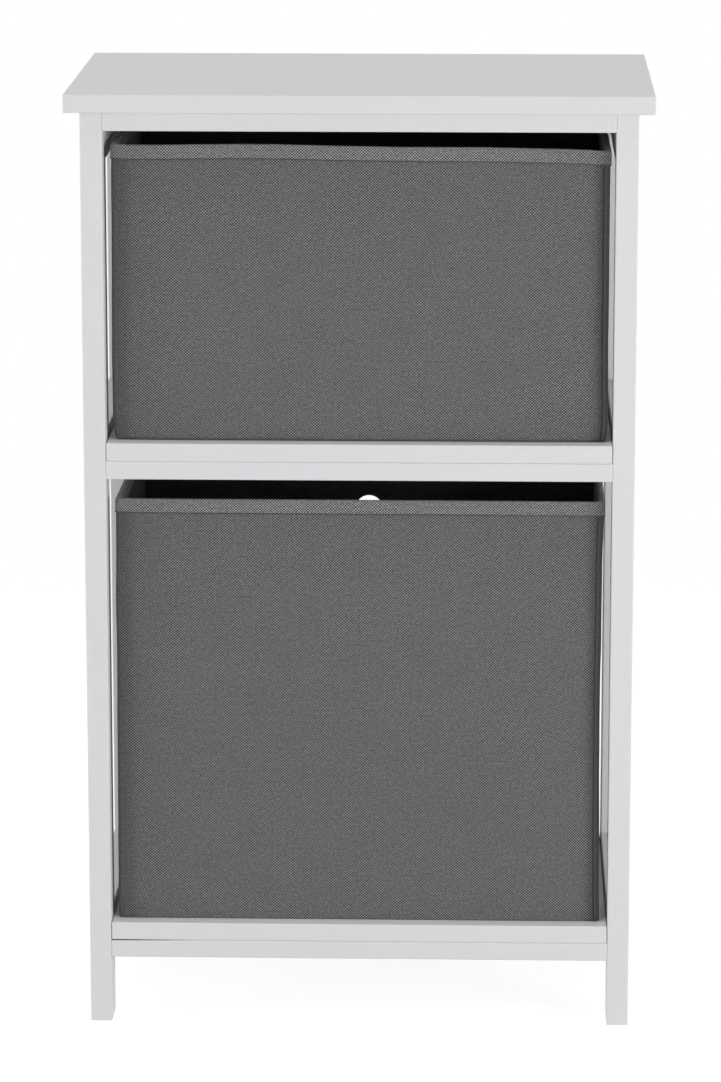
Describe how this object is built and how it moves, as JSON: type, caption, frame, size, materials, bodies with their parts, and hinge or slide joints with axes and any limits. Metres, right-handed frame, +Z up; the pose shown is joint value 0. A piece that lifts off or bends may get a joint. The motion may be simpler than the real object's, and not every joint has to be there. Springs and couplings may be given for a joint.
{
  "type": "storage tower",
  "caption": "Open white painted timber tower with an overhanging top board, shelves between plain square legs, and pull-out grey fabric bins with finger holes.",
  "frame": {"origin": "on the floor under the middle of the tower", "axes": "+Z up, +Y towards the side that the finger holes face, away from the side in the picture, +X to the right as the picture shows it"},
  "size_m": [0.476, 0.3, 0.78],
  "materials": {
    "white_paint": "satin white paint",
    "dowel_beech": "bare beech",
    "zinc_bolt": "zinc plated",
    "zinc_screw": "yellow zinc plated",
    "bin_fabric": "embossed non-woven",
    "bin_lining": "non-woven",
    "hem_tape": "non-woven",
    "stiffening_card": "grey board"
  },
  "bodies": {
    "frame": {"top_board": "white_paint", "middle_shelf": "white_paint", "bottom_shelf": "white_paint", "front_left_leg": "white_paint", "front_right_leg": "white_paint", "rear_left_leg": "white_paint", "rear_right_leg": "white_paint", "top_front_rail": "white_paint", "top_rear_rail": "white_paint", "middle_front_rail": "white_paint", "middle_rear_rail": "white_paint", "bottom_front_rail": "white_paint", "bottom_rear_rail": "white_paint", "top_left_side_rail": "white_paint", "top_right_side_rail": "white_paint", "middle_left_side_rail": "white_paint", "middle_right_side_rail": "white_paint", "bottom_left_side_rail": "white_paint", "bottom_right_side_rail": "white_paint", "rail_bolts": "zinc_bolt", "rail_cross_nuts": "zinc_bolt", "rail_dowels": "dowel_beech", "side_rail_dowels": "dowel_beech", "top_board_screws": "zinc_screw", "middle_shelf_screws": "zinc_screw", "bottom_shelf_screws": "zinc_screw"},
    "upper_bin": {"upper_bin_cover": "bin_fabric", "upper_bin_lining": "bin_lining", "upper_bin_hem": "hem_tape", "upper_bin_base_board": "bin_lining", "upper_bin_front_card": "stiffening_card", "upper_bin_rear_card": "stiffening_card", "upper_bin_left_card": "stiffening_card", "upper_bin_right_card": "stiffening_card"},
    "lower_bin": {"lower_bin_cover": "bin_fabric", "lower_bin_lining": "bin_lining", "lower_bin_hem": "hem_tape", "lower_bin_base_board": "bin_lining", "lower_bin_front_card": "stiffening_card", "lower_bin_rear_card": "stiffening_card", "lower_bin_left_card": "stiffening_card", "lower_bin_right_card": "stiffening_card"}
  },
  "joints": [
    {"name": "upper_bin_slide", "type": "slide", "parent": "frame", "child": "upper_bin", "axis": [0, 1, 0], "range_m": [-0.28, 0.28]},
    {"name": "lower_bin_slide", "type": "slide", "parent": "frame", "child": "lower_bin", "axis": [0, 1, 0], "range_m": [-0.28, 0.28]}
  ]
}
